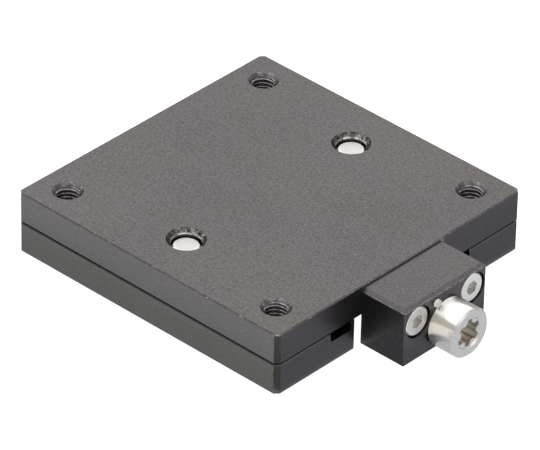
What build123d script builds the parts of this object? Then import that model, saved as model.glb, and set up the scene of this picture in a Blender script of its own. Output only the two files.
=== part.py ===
from build123d import *
import math
import os

# ---------------------------------------------------------------------------
# Miniature X-axis stage, 40 x 40 mm table, height 8 mm.
# X is the direction of travel and the feed screw's axis, +X towards the knob.
# Z is up. The origin is the centre of the base's bottom face.
# Left is -Y, right is +Y. All sizes are in millimetres.
# ---------------------------------------------------------------------------

# plates
PLATE = 40.0            # side of the square table and base
BASE_TOP = 3.92         # top of the base plate
TABLE_BOTTOM = 4.08     # underside of the table plate
TABLE_TOP = 8.0         # table surface
EDGE = 0.15             # chamfer round the outer face of each plate
SEAM_EDGE = 0.12        # chamfer round the two edges that face each other
CORNER = 0.55           # chamfer of the upright corners

# fixing holes, M3 through the plates on a square pattern
HOLE_PITCH = 32.0
M3_CORE_R = 1.25
M3_SINK_R = 1.8
M3_SINK_ANGLE = 100.0
M3_SINK_CUT = 0.55       # a little deeper than the cone, which ends at the core

# feed screw axis
AXIS_Y = 0.25
AXIS_Z = 3.2

# front notch in the base, through its full height
NOTCH_X = 14.0
NOTCH_HALF = 7.4

# ball guide: rails, balls and retainers on both sides
RAIL_FLOOR = 2.9        # floor of the channels in the base
CHANNEL_IN = 8.15
CHANNEL_OUT = 11.45
BASE_RAIL_IN = 8.2
BASE_RAIL_OUT = 11.4
BASE_RAIL_HALF = 15.0
BASE_RAIL_TOP = 5.7
TABLE_RAIL_IN = 11.9
TABLE_RAIL_OUT = 15.4
TABLE_RAIL_HALF = 10.5
TABLE_RAIL_BOTTOM = 3.1
ROOF = 5.9              # roof of the pockets in the table's underside
POCKET_OUT = 15.6
POCKET_HALF = 13.75
BALL_Y = 11.65
BALL_Z = 4.4
BALL_R = 0.585
BALL_PITCH = 2.0
BALL_COUNT = 8
VEE = 0.6               # depth of the 90 degree grooves

# rail pins under the two large holes of the table
PIN_Y = 13.5
PIN_TOP = 7.21
PIN_R = 1.56
PIN_HOLE_R = 1.75
PIN_SINK_R = 2.3

# small screws: M1.6 from below
M16_CORE_R = 0.61
M16_TAP_R = 0.625
M16_R = 0.8
M16_CLEAR_R = 0.85
M16_HEAD_R = 1.42
M16_SINK_R = 1.5
BASE_SCREW_X = 10.0
BASE_SCREW_Y = 9.5
TABLE_SCREW_X = 7.5
TABLE_SCREW_Y = 13.7

# feed nut
NUT_X0 = 3.5
NUT_X1 = 10.5
NUT_FLOOR = 1.2
NUT_TOP = 5.3
NUT_BODY_HALF = 3.2
NUT_EAR_HALF = 6.6
NUT_EAR_TOP = 3.5
NUT_SCREW_X = 7.0
NUT_SCREW_Y = 5.0
NUT_BORE_R = 1.525

# feed screw, M3 x 0.5, with a 2.5 mm journal
SCREW_R = 1.5
SCREW_TAIL = -2.0
SCREW_SHOULDER = 20.3
JOURNAL_R = 1.25
JOURNAL_END = 28.0
RING_GROOVE_R = 0.75
RING_X0 = 20.8
RING_X1 = 21.2
RING_R = 2.0
BUSH_R = 2.0
BUSH_BORE_R = 1.265

# bracket block in front of the table
BRACKET_X0 = 20.0
BRACKET_X1 = 26.35
BRACKET_Y = 0.2         # centre of the block across
BRACKET_HALF = 6.7
BRACKET_Z0 = 0.22
BRACKET_Z1 = 7.65
BRACKET_EDGE = 0.45     # chamfer round the top
BRACKET_CORNER = 0.1    # chamfer on the other outer edges
BRACKET_SCREW_Y = 4.5
BRACKET_SCREW_Z = 5.2
WASHER_SEAT = 26.15     # end of the bush and floor of the washer's seat
FACE_PIN_AT = 3.55      # small pin beside the knob: distance from the screw axis
FACE_PIN_ANGLE = 117.0  # and direction, from +Y towards +Z
FACE_PIN_R = 0.48
FACE_PIN_X0 = 23.4
FACE_PIN_X1 = 26.8
FACE_PIN_Y = AXIS_Y + FACE_PIN_AT * math.cos(math.radians(FACE_PIN_ANGLE))
FACE_PIN_Z = AXIS_Z + FACE_PIN_AT * math.sin(math.radians(FACE_PIN_ANGLE))
M2_CORE_R = 0.78
M2_TAP_R = 0.8
M2_R = 1.0
M2_CLEAR_R = 1.1
M2_HEAD_R = 1.84
M2_HEAD_X0 = 24.3
M2_HEAD_X1 = 26.2
M2_RECESS_R = 2.0

# knob
KNOB_X0 = 26.5
KNOB_X1 = 30.05
KNOB_R = 3.03
LOBE_R = 1.75           # tip radius of the six-lobed recess
LOBE_ANGLE = 24.0       # direction of one lobe, from +Y towards +Z
VALLEY_R = 1.24
VALLEY_ARC = 0.46
RECESS_DEPTH = 1.8
LEAD_R = 2.0            # mouth of the countersink over the recess
LEAD_DEPTH = 0.22

HALF = PLATE / 2


# ---------------------------------------------------------------------------
# Base plate: notch for the bracket, rail channels, nut pocket, M3 holes
# ---------------------------------------------------------------------------
with BuildPart() as base_plate:
    with BuildSketch(Plane.XY):
        Rectangle(PLATE, PLATE)
    extrude(amount=BASE_TOP)
    chamfer(base_plate.edges().filter_by(Axis.Z), CORNER)
    chamfer(base_plate.faces().sort_by(Axis.Z)[0].edges(), EDGE)
    chamfer(base_plate.faces().sort_by(Axis.Z)[-1].edges(), SEAM_EDGE)
    # front notch, milled with a round cutter
    with BuildSketch(Plane.XY.offset(-0.5)):
        with BuildLine():
            Polyline(
                (HALF + 1, -NOTCH_HALF), (NOTCH_X, -NOTCH_HALF), (NOTCH_X, NOTCH_HALF),
                (HALF + 1, NOTCH_HALF), close=True,
            )
        make_face()
    extrude(amount=BASE_TOP + 1, mode=Mode.SUBTRACT)
    fillet(
        base_plate.edges().filter_by(Axis.Z).filter_by_position(Axis.X, NOTCH_X - 0.01, NOTCH_X + 0.01),
        1.0,
    )
    chamfer(
        base_plate.edges().filter_by(Axis.Z)
        .filter_by_position(Axis.X, HALF - 0.01, HALF + 0.01)
        .filter_by_position(Axis.Y, -NOTCH_HALF - 0.01, NOTCH_HALF + 0.01),
        0.2,
    )
    # two shallow channels along the whole plate, rounded at the floor
    for side in (-1, 1):
        with BuildSketch(Plane.YZ.offset(-HALF - 1)):
            with Locations((side * (CHANNEL_IN + CHANNEL_OUT) / 2, RAIL_FLOOR + 1.0)):
                channel = Rectangle(CHANNEL_OUT - CHANNEL_IN, 2.0)
            fillet(channel.vertices().sort_by(Axis.Z)[:2], 0.3)
        extrude(amount=PLATE + 2, mode=Mode.SUBTRACT)
    # closed pockets that the table rails move in
    with BuildSketch(Plane.XY.offset(RAIL_FLOOR)):
        for side in (-1, 1):
            with Locations((0, side * (BASE_RAIL_OUT + POCKET_OUT) / 2)):
                RectangleRounded(2 * POCKET_HALF, POCKET_OUT - BASE_RAIL_OUT, 0.5)
    extrude(amount=2, mode=Mode.SUBTRACT)
    # pocket for the feed nut, open to the notch
    with BuildSketch(Plane.XY.offset(NUT_FLOOR)):
        with Locations(((NUT_X0 - 0.2 + NOTCH_X + 1.5) / 2, AXIS_Y)):
            pocket = Rectangle(NOTCH_X + 1.5 - NUT_X0 + 0.2, 2 * (NUT_EAR_HALF + 0.2))
        fillet(pocket.vertices().sort_by(Axis.X)[:2], 0.9)
    extrude(amount=4, mode=Mode.SUBTRACT)
    # channel for the screw's free end
    with BuildSketch(Plane.XY.offset(1.4)):
        with Locations((-0.6, AXIS_Y)):
            tail = Rectangle(9.8, 3.6)
        fillet(tail.vertices().sort_by(Axis.X)[:2], 1.0)
    extrude(amount=4, mode=Mode.SUBTRACT)
    # M3 fixing holes, countersunk underneath
    with BuildSketch(Plane.XY):
        with GridLocations(HOLE_PITCH, HOLE_PITCH, 2, 2):
            Circle(M3_CORE_R)
    extrude(amount=BASE_TOP, mode=Mode.SUBTRACT)
    with BuildSketch(Plane.XY):
        with GridLocations(HOLE_PITCH, HOLE_PITCH, 2, 2):
            Circle(M3_SINK_R)
    extrude(amount=M3_SINK_CUT, taper=M3_SINK_ANGLE / 2, mode=Mode.SUBTRACT)
    # countersunk clearance holes for the rail and nut screws
    with Locations(Plane(origin=(0, 0, 0), x_dir=(1, 0, 0), z_dir=(0, 0, -1))):
        with Locations(
            *[(x, y) for x in (-BASE_SCREW_X, 0, BASE_SCREW_X) for y in (-BASE_SCREW_Y, BASE_SCREW_Y)],
            (NUT_SCREW_X, -AXIS_Y - NUT_SCREW_Y), (NUT_SCREW_X, -AXIS_Y + NUT_SCREW_Y),
        ):
            CounterSinkHole(M16_CLEAR_R, M16_SINK_R, depth=3.5, counter_sink_angle=90)
base_plate.part.label = "base_plate"


# ---------------------------------------------------------------------------
# Table plate: flat top with M3 holes and two larger countersunk holes;
# pockets in the underside for the rails, the nut and the screw
# ---------------------------------------------------------------------------
with BuildPart() as table_plate:
    with BuildSketch(Plane.XY.offset(TABLE_BOTTOM)):
        Rectangle(PLATE, PLATE)
    extrude(amount=TABLE_TOP - TABLE_BOTTOM)
    chamfer(table_plate.edges().filter_by(Axis.Z), CORNER)
    chamfer(table_plate.faces().sort_by(Axis.Z)[-1].edges(), EDGE)
    chamfer(table_plate.faces().sort_by(Axis.Z)[0].edges(), SEAM_EDGE)
    # long pockets over the base rails, closed at both ends
    with BuildSketch(Plane.XY.offset(TABLE_BOTTOM - 1)):
        for side in (-1, 1):
            with Locations((0, side * (8.0 + TABLE_RAIL_IN) / 2)):
                RectangleRounded(36.4, TABLE_RAIL_IN - 8.0, 0.5)
    extrude(amount=ROOF - TABLE_BOTTOM + 1, mode=Mode.SUBTRACT)
    # seats of the table rails
    with BuildSketch(Plane.XY.offset(TABLE_BOTTOM - 1)):
        for side in (-1, 1):
            with Locations((0, side * (TABLE_RAIL_IN - 0.5 + TABLE_RAIL_OUT) / 2)):
                Rectangle(2 * TABLE_RAIL_HALF + 0.1, TABLE_RAIL_OUT - TABLE_RAIL_IN + 0.5)
    extrude(amount=ROOF - TABLE_BOTTOM + 1, mode=Mode.SUBTRACT)
    # pocket that the feed nut stands up into
    with BuildSketch(Plane.XY.offset(TABLE_BOTTOM - 1)):
        with Locations((7, AXIS_Y)):
            RectangleRounded(14, 7.6, 0.9)
    extrude(amount=ROOF - TABLE_BOTTOM + 1, mode=Mode.SUBTRACT)
    # groove over the feed screw, open at the front face
    with BuildSketch(Plane.XY.offset(TABLE_BOTTOM - 1)):
        with Locations(((HALF + 1 - 2.6) / 2, AXIS_Y)):
            Rectangle(HALF + 1 + 2.6, 3.6)
    extrude(amount=5.0 - TABLE_BOTTOM + 1, mode=Mode.SUBTRACT)
    # M3 fixing holes, countersunk in the table surface
    with BuildSketch(Plane.XY.offset(TABLE_BOTTOM)):
        with GridLocations(HOLE_PITCH, HOLE_PITCH, 2, 2):
            Circle(M3_CORE_R)
    extrude(amount=TABLE_TOP - TABLE_BOTTOM, mode=Mode.SUBTRACT)
    with BuildSketch(Plane.XY.offset(TABLE_TOP)):
        with GridLocations(HOLE_PITCH, HOLE_PITCH, 2, 2):
            Circle(M3_SINK_R)
    extrude(amount=-M3_SINK_CUT, taper=M3_SINK_ANGLE / 2, mode=Mode.SUBTRACT)
    # countersunk holes over the rail pins
    with BuildSketch(Plane.XY.offset(ROOF - 0.1)):
        with Locations((0, -PIN_Y), (0, PIN_Y)):
            Circle(PIN_HOLE_R)
    extrude(amount=3, mode=Mode.SUBTRACT)
    with BuildSketch(Plane.XY.offset(TABLE_TOP)):
        with Locations((0, -PIN_Y), (0, PIN_Y)):
            Circle(PIN_SINK_R)
    extrude(amount=-(PIN_SINK_R - PIN_HOLE_R + 0.1), taper=45, mode=Mode.SUBTRACT)
    # blind tapped holes for the rail screws
    with BuildSketch(Plane.XY.offset(ROOF - 0.1)):
        with GridLocations(2 * TABLE_SCREW_X, 2 * TABLE_SCREW_Y, 2, 2):
            Circle(M16_TAP_R)
    extrude(amount=1.6, mode=Mode.SUBTRACT)
    # tapped holes for the bracket screws in the front face
    with BuildSketch(Plane.YZ.offset(HALF)):
        with Locations((AXIS_Y - BRACKET_SCREW_Y, BRACKET_SCREW_Z), (AXIS_Y + BRACKET_SCREW_Y, BRACKET_SCREW_Z)):
            Circle(M2_TAP_R)
    extrude(amount=-5.0, mode=Mode.SUBTRACT)
table_plate.part.label = "table_plate"


# ---------------------------------------------------------------------------
# Ball guide
# ---------------------------------------------------------------------------
# rail screwed into the base, groove facing outwards
with BuildPart() as base_rail_right:
    with BuildSketch(Plane.YZ.offset(-BASE_RAIL_HALF)):
        with BuildLine():
            Polyline(
                (BASE_RAIL_IN + 0.35, RAIL_FLOOR), (BASE_RAIL_OUT - 0.35, RAIL_FLOOR),
                (BASE_RAIL_OUT, RAIL_FLOOR + 0.35), (BASE_RAIL_OUT, BALL_Z - VEE),
                (BASE_RAIL_OUT - VEE, BALL_Z), (BASE_RAIL_OUT, BALL_Z + VEE),
                (BASE_RAIL_OUT, BASE_RAIL_TOP - 0.15), (BASE_RAIL_OUT - 0.15, BASE_RAIL_TOP),
                (BASE_RAIL_IN + 0.15, BASE_RAIL_TOP), (BASE_RAIL_IN, BASE_RAIL_TOP - 0.15),
                (BASE_RAIL_IN, RAIL_FLOOR + 0.35), close=True,
            )
        make_face()
    extrude(amount=2 * BASE_RAIL_HALF)
    with BuildSketch(Plane.XY.offset(RAIL_FLOOR)):
        with Locations(*[(x, BASE_SCREW_Y) for x in (-BASE_SCREW_X, 0, BASE_SCREW_X)]):
            Circle(M16_TAP_R)
    extrude(amount=2.2, mode=Mode.SUBTRACT)
base_rail_right.part.label = "base_rail_right"

with BuildPart() as base_rail_left:
    mirror(base_rail_right.part, about=Plane.XZ)
base_rail_left.part.label = "base_rail_left"

# rail screwed up into the table, groove facing inwards
with BuildPart() as table_rail_right:
    with BuildSketch(Plane.YZ.offset(-TABLE_RAIL_HALF)):
        with BuildLine():
            Polyline(
                (TABLE_RAIL_IN + 0.15, TABLE_RAIL_BOTTOM), (TABLE_RAIL_OUT - 0.15, TABLE_RAIL_BOTTOM),
                (TABLE_RAIL_OUT, TABLE_RAIL_BOTTOM + 0.15), (TABLE_RAIL_OUT, ROOF - 0.2),
                (TABLE_RAIL_OUT - 0.2, ROOF), (TABLE_RAIL_IN + 0.15, ROOF),
                (TABLE_RAIL_IN, ROOF - 0.15), (TABLE_RAIL_IN, BALL_Z + VEE),
                (TABLE_RAIL_IN + VEE, BALL_Z), (TABLE_RAIL_IN, BALL_Z - VEE),
                (TABLE_RAIL_IN, TABLE_RAIL_BOTTOM + 0.15), close=True,
            )
        make_face()
    extrude(amount=2 * TABLE_RAIL_HALF)
    chamfer(
        table_rail_right.edges().filter_by(Axis.Z).sort_by(Axis.Y)[-2:],
        0.15,
    )
    # stem hole of the rail pin, from above
    with BuildSketch(Plane.XY.offset(ROOF)):
        with Locations((0, PIN_Y)):
            Circle(1.2)
    extrude(amount=-0.85, mode=Mode.SUBTRACT)
    # clearance holes with a recess underneath for the screw heads
    with BuildSketch(Plane.XY.offset(TABLE_RAIL_BOTTOM - 0.1)):
        with Locations((-TABLE_SCREW_X, TABLE_SCREW_Y), (TABLE_SCREW_X, TABLE_SCREW_Y)):
            Circle(M16_CLEAR_R)
    extrude(amount=4, mode=Mode.SUBTRACT)
    with BuildSketch(Plane.XY.offset(TABLE_RAIL_BOTTOM)):
        with Locations((-TABLE_SCREW_X, TABLE_SCREW_Y), (TABLE_SCREW_X, TABLE_SCREW_Y)):
            Circle(1.25)
    extrude(amount=0.9, mode=Mode.SUBTRACT)
table_rail_right.part.label = "table_rail_right"

with BuildPart() as table_rail_left:
    mirror(table_rail_right.part, about=Plane.XZ)
table_rail_left.part.label = "table_rail_left"

# balls in the grooves
with BuildPart() as balls_right:
    with Locations(*[((i - (BALL_COUNT - 1) / 2) * BALL_PITCH, BALL_Y, BALL_Z) for i in range(BALL_COUNT)]):
        Sphere(BALL_R)
balls_right.part.label = "balls_right"

with BuildPart() as balls_left:
    with Locations(*[((i - (BALL_COUNT - 1) / 2) * BALL_PITCH, -BALL_Y, BALL_Z) for i in range(BALL_COUNT)]):
        Sphere(BALL_R)
balls_left.part.label = "balls_left"

# thin retainer that spaces the balls
with BuildPart() as retainer_right:
    with BuildSketch(Plane.XZ.offset(-BALL_Y - 0.15)):
        with Locations((0, BALL_Z)):
            RectangleRounded(17.4, 2.1, 0.3)
        with Locations(*[((i - (BALL_COUNT - 1) / 2) * BALL_PITCH, BALL_Z) for i in range(BALL_COUNT)]):
            Circle(BALL_R + 0.035, mode=Mode.SUBTRACT)
    extrude(amount=0.3)
retainer_right.part.label = "retainer_right"

with BuildPart() as retainer_left:
    mirror(retainer_right.part, about=Plane.XZ)
retainer_left.part.label = "retainer_left"

# pins that locate the table rails, seen as plain discs in the table
with BuildPart() as rail_pins:
    for py in (-PIN_Y, PIN_Y):
        with BuildSketch(Plane(origin=(0, py, 0), x_dir=(1, 0, 0), z_dir=(0, -1, 0))):
            with BuildLine():
                Polyline(
                    (0, ROOF), (PIN_R, ROOF), (PIN_R, PIN_TOP - 0.18), (PIN_R - 0.05, PIN_TOP - 0.09),
                    (PIN_R - 0.18, PIN_TOP - 0.03), (PIN_R - 0.45, PIN_TOP), (0, PIN_TOP), close=True,
                )
            make_face()
        revolve(axis=Axis((0, py, 0), (0, 0, 1)))
    with BuildSketch(Plane.XY.offset(ROOF)):
        with Locations((0, -PIN_Y), (0, PIN_Y)):
            Circle(1.18)
    extrude(amount=-0.8)
rail_pins.part.label = "rail_pins"


# ---------------------------------------------------------------------------
# M1.6 screws from below
# ---------------------------------------------------------------------------
# flat heads, flush with the base, into the base rails
with BuildPart() as base_rail_screws:
    for sx in (-BASE_SCREW_X, 0, BASE_SCREW_X):
        for sy in (-BASE_SCREW_Y, BASE_SCREW_Y):
            with BuildSketch(Plane(origin=(sx, sy, 0), x_dir=(1, 0, 0), z_dir=(0, -1, 0))):
                with BuildLine():
                    Polyline(
                        (0, 0.05), (M16_HEAD_R, 0.05), (M16_R, 0.05 + M16_HEAD_R - M16_R),
                        (M16_R, RAIL_FLOOR), (M16_CORE_R, RAIL_FLOOR), (M16_CORE_R, 4.75),
                        (M16_CORE_R - 0.15, 4.9), (0, 4.9), close=True,
                    )
                make_face()
            revolve(axis=Axis((sx, sy, 0), (0, 0, 1)))
            with BuildSketch(Plane.XY.offset(0.05)):
                with Locations((sx, sy)):
                    RegularPolygon(0.45, 6, major_radius=False)
            extrude(amount=0.5, mode=Mode.SUBTRACT)
base_rail_screws.part.label = "base_rail_screws"

# flat heads into the nut's ears
with BuildPart() as nut_screws:
    for sy in (AXIS_Y - NUT_SCREW_Y, AXIS_Y + NUT_SCREW_Y):
        with BuildSketch(Plane(origin=(NUT_SCREW_X, sy, 0), x_dir=(1, 0, 0), z_dir=(0, -1, 0))):
            with BuildLine():
                Polyline(
                    (0, 0.05), (M16_HEAD_R, 0.05), (M16_R, 0.05 + M16_HEAD_R - M16_R),
                    (M16_R, NUT_FLOOR), (M16_CORE_R, NUT_FLOOR), (M16_CORE_R, 3.05),
                    (M16_CORE_R - 0.15, 3.2), (0, 3.2), close=True,
                )
            make_face()
        revolve(axis=Axis((NUT_SCREW_X, sy, 0), (0, 0, 1)))
        with BuildSketch(Plane.XY.offset(0.05)):
            with Locations((NUT_SCREW_X, sy)):
                RegularPolygon(0.45, 6, major_radius=False)
        extrude(amount=0.5, mode=Mode.SUBTRACT)
nut_screws.part.label = "nut_screws"

# small cylinder heads through the table rails into the table
with BuildPart() as table_rail_screws:
    for sx in (-TABLE_SCREW_X, TABLE_SCREW_X):
        for sy in (-TABLE_SCREW_Y, TABLE_SCREW_Y):
            with BuildSketch(Plane(origin=(sx, sy, 0), x_dir=(1, 0, 0), z_dir=(0, -1, 0))):
                with BuildLine():
                    Polyline(
                        (0, 3.2), (1.1, 3.2), (1.2, 3.3), (1.2, 4.0), (M16_R, 4.0), (M16_R, ROOF),
                        (M16_CORE_R, ROOF), (M16_CORE_R, 7.1), (M16_CORE_R - 0.15, 7.25), (0, 7.25), close=True,
                    )
                make_face()
            revolve(axis=Axis((sx, sy, 0), (0, 0, 1)))
            with BuildSketch(Plane.XY.offset(3.2)):
                with Locations((sx, sy)):
                    RegularPolygon(0.45, 6, major_radius=False)
            extrude(amount=0.45, mode=Mode.SUBTRACT)
table_rail_screws.part.label = "table_rail_screws"


# ---------------------------------------------------------------------------
# Feed: nut in the base, screw carried by the bracket
# ---------------------------------------------------------------------------
with BuildPart() as feed_nut:
    with BuildSketch(Plane.XY.offset(NUT_FLOOR)):
        with Locations(((NUT_X0 + NUT_X1) / 2, AXIS_Y)):
            Rectangle(NUT_X1 - NUT_X0, 2 * NUT_EAR_HALF)
    extrude(amount=NUT_EAR_TOP - NUT_FLOOR)
    chamfer(feed_nut.edges().filter_by(Axis.Z), 0.8)
    with BuildSketch(Plane.XY.offset(NUT_FLOOR)):
        with Locations(((NUT_X0 + NUT_X1) / 2, AXIS_Y)):
            Rectangle(NUT_X1 - NUT_X0, 2 * NUT_BODY_HALF)
    extrude(amount=NUT_TOP - NUT_FLOOR)
    chamfer(feed_nut.faces().sort_by(Axis.Z)[-1].edges(), 0.3)
    # bore for the feed screw
    with BuildSketch(Plane.YZ.offset(NUT_X0 - 0.5)):
        with Locations((AXIS_Y, AXIS_Z)):
            Circle(NUT_BORE_R)
    extrude(amount=NUT_X1 - NUT_X0 + 1, mode=Mode.SUBTRACT)
    # tapped holes in the ears
    with BuildSketch(Plane.XY.offset(NUT_FLOOR)):
        with Locations((NUT_SCREW_X, AXIS_Y - NUT_SCREW_Y), (NUT_SCREW_X, AXIS_Y + NUT_SCREW_Y)):
            Circle(M16_TAP_R)
    extrude(amount=3, mode=Mode.SUBTRACT)
feed_nut.part.label = "feed_nut"

with BuildPart() as feed_screw:
    with BuildSketch(Plane(origin=(0, AXIS_Y, AXIS_Z), x_dir=(1, 0, 0), z_dir=(0, -1, 0))):
        with BuildLine():
            Polyline(
                (SCREW_TAIL, 0), (SCREW_TAIL, SCREW_R - 0.35), (SCREW_TAIL + 0.35, SCREW_R),
                (SCREW_SHOULDER - 0.25, SCREW_R), (SCREW_SHOULDER, JOURNAL_R),
                (RING_X0 - 0.02, JOURNAL_R), (RING_X0 - 0.02, RING_GROOVE_R), (RING_X1 + 0.02, RING_GROOVE_R),
                (RING_X1 + 0.02, JOURNAL_R), (JOURNAL_END - 0.2, JOURNAL_R), (JOURNAL_END, JOURNAL_R - 0.2),
                (JOURNAL_END, 0), close=True,
            )
        make_face()
    revolve(axis=Axis((0, AXIS_Y, AXIS_Z), (1, 0, 0)))
feed_screw.part.label = "feed_screw"

# retaining ring behind the bush: three lugs grip the groove, open at the bottom
with BuildPart() as e_ring:
    with BuildSketch(Plane.YZ.offset(RING_X0)):
        with Locations((AXIS_Y, AXIS_Z)):
            Circle(RING_R)
            Circle(1.35, mode=Mode.SUBTRACT)
        for angle in (90, 205, 335):
            with Locations(
                (AXIS_Y + 1.14 * math.cos(math.radians(angle)), AXIS_Z + 1.14 * math.sin(math.radians(angle)))
            ):
                Rectangle(0.74, 0.6, rotation=angle)
        with Locations((AXIS_Y, AXIS_Z - 1.5)):
            Rectangle(1.5, 2.0, mode=Mode.SUBTRACT)
    extrude(amount=RING_X1 - RING_X0)
e_ring.part.label = "e_ring"

with BuildPart() as bracket_bush:
    with BuildSketch(Plane.YZ.offset(21.3)):
        with Locations((AXIS_Y, AXIS_Z)):
            Circle(BUSH_R)
            Circle(BUSH_BORE_R, mode=Mode.SUBTRACT)
    extrude(amount=WASHER_SEAT - 21.3)
bracket_bush.part.label = "bracket_bush"

# curved spring washer between the bracket and the knob
with BuildPart() as spring_washer:
    with BuildSketch(Plane.YZ.offset(BRACKET_X1 - 1)):
        with Locations((AXIS_Y, AXIS_Z)):
            Circle(2.3)
            Circle(1.32, mode=Mode.SUBTRACT)
    extrude(amount=2)
    with BuildSketch(Plane.XY.offset(AXIS_Z - 3)):
        with Locations((KNOB_X0 - 14.0, AXIS_Y)):
            Circle(14.0)
            Circle(13.9, mode=Mode.SUBTRACT)
    extrude(amount=6, mode=Mode.INTERSECT)
spring_washer.part.label = "spring_washer"

# bracket block: bore with the bush, recess for the ring, two screw recesses
with BuildPart() as bracket:
    with BuildSketch(Plane.YZ.offset(BRACKET_X0)):
        with Locations((BRACKET_Y, (BRACKET_Z0 + BRACKET_Z1) / 2)):
            Rectangle(2 * BRACKET_HALF, BRACKET_Z1 - BRACKET_Z0)
    extrude(amount=BRACKET_X1 - BRACKET_X0)
    chamfer(bracket.faces().sort_by(Axis.Z)[-1].edges().sort_by(Axis.X)[1:], BRACKET_EDGE)
    chamfer(
        bracket.faces().sort_by(Axis.Z)[0].edges().sort_by(Axis.X)[1:]
        + bracket.edges().filter_by(Axis.Z).sort_by(Axis.X)[-2:],
        BRACKET_CORNER,
    )
    with BuildSketch(Plane.YZ.offset(BRACKET_X0)):
        with Locations((AXIS_Y, AXIS_Z)):
            Circle(BUSH_R)
        with Locations((AXIS_Y - BRACKET_SCREW_Y, BRACKET_SCREW_Z), (AXIS_Y + BRACKET_SCREW_Y, BRACKET_SCREW_Z)):
            Circle(M2_CLEAR_R)
    extrude(amount=BRACKET_X1 - BRACKET_X0, mode=Mode.SUBTRACT)
    with BuildSketch(Plane.YZ.offset(BRACKET_X0)):
        with Locations((AXIS_Y, AXIS_Z)):
            Circle(2.25)
    extrude(amount=1.3, mode=Mode.SUBTRACT)
    with BuildSketch(Plane.YZ.offset(BRACKET_X1)):
        with Locations((AXIS_Y - BRACKET_SCREW_Y, BRACKET_SCREW_Z), (AXIS_Y + BRACKET_SCREW_Y, BRACKET_SCREW_Z)):
            Circle(M2_RECESS_R)
    extrude(amount=-2.1, mode=Mode.SUBTRACT)
    with BuildSketch(Plane.YZ.offset(BRACKET_X1)):
        with Locations((AXIS_Y, AXIS_Z)):
            Circle(2.45)
    extrude(amount=WASHER_SEAT - BRACKET_X1, mode=Mode.SUBTRACT)
    with BuildSketch(Plane.YZ.offset(BRACKET_X1)):
        with Locations((FACE_PIN_Y, FACE_PIN_Z)):
            Circle(FACE_PIN_R)
    extrude(amount=FACE_PIN_X0 - BRACKET_X1, mode=Mode.SUBTRACT)
bracket.part.label = "bracket"

# pin pressed into the bracket's front face, close to the knob's rim
with BuildPart() as bracket_pin:
    with BuildSketch(Plane.YZ.offset(FACE_PIN_X0)):
        with Locations((FACE_PIN_Y, FACE_PIN_Z)):
            Circle(FACE_PIN_R)
    extrude(amount=FACE_PIN_X1 - FACE_PIN_X0)
    chamfer(bracket_pin.edges().group_by(Axis.X)[-1], 0.07)
bracket_pin.part.label = "bracket_pin"

# M2 socket head screws that hold the bracket to the table's front face
with BuildPart() as bracket_screw_left:
    with BuildSketch(
        Plane(origin=(0, AXIS_Y - BRACKET_SCREW_Y, BRACKET_SCREW_Z), x_dir=(1, 0, 0), z_dir=(0, -1, 0))
    ):
        with BuildLine():
            Polyline(
                (16.0, 0), (16.0, M2_CORE_R - 0.2), (16.2, M2_CORE_R), (20.0, M2_CORE_R), (20.0, M2_R), (M2_HEAD_X0, M2_R),
                (M2_HEAD_X0, M2_HEAD_R), (M2_HEAD_X1 - 0.15, M2_HEAD_R), (M2_HEAD_X1, M2_HEAD_R - 0.18),
                (M2_HEAD_X1, 0), close=True,
            )
        make_face()
    revolve(axis=Axis((0, AXIS_Y - BRACKET_SCREW_Y, BRACKET_SCREW_Z), (1, 0, 0)))
    with BuildSketch(Plane.YZ.offset(M2_HEAD_X1)):
        with Locations((AXIS_Y - BRACKET_SCREW_Y, BRACKET_SCREW_Z)):
            RegularPolygon(0.76, 6, major_radius=False, rotation=30)
    extrude(amount=-1.0, mode=Mode.SUBTRACT)
bracket_screw_left.part.label = "bracket_screw_left"

with BuildPart() as bracket_screw_right:
    with BuildSketch(
        Plane(origin=(0, AXIS_Y + BRACKET_SCREW_Y, BRACKET_SCREW_Z), x_dir=(1, 0, 0), z_dir=(0, -1, 0))
    ):
        with BuildLine():
            Polyline(
                (16.0, 0), (16.0, M2_CORE_R - 0.2), (16.2, M2_CORE_R), (20.0, M2_CORE_R), (20.0, M2_R), (M2_HEAD_X0, M2_R),
                (M2_HEAD_X0, M2_HEAD_R), (M2_HEAD_X1 - 0.15, M2_HEAD_R), (M2_HEAD_X1, M2_HEAD_R - 0.18),
                (M2_HEAD_X1, 0), close=True,
            )
        make_face()
    revolve(axis=Axis((0, AXIS_Y + BRACKET_SCREW_Y, BRACKET_SCREW_Z), (1, 0, 0)))
    with BuildSketch(Plane.YZ.offset(M2_HEAD_X1)):
        with Locations((AXIS_Y + BRACKET_SCREW_Y, BRACKET_SCREW_Z)):
            RegularPolygon(0.76, 6, major_radius=False, rotation=10)
    extrude(amount=-1.0, mode=Mode.SUBTRACT)
bracket_screw_right.part.label = "bracket_screw_right"


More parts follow.
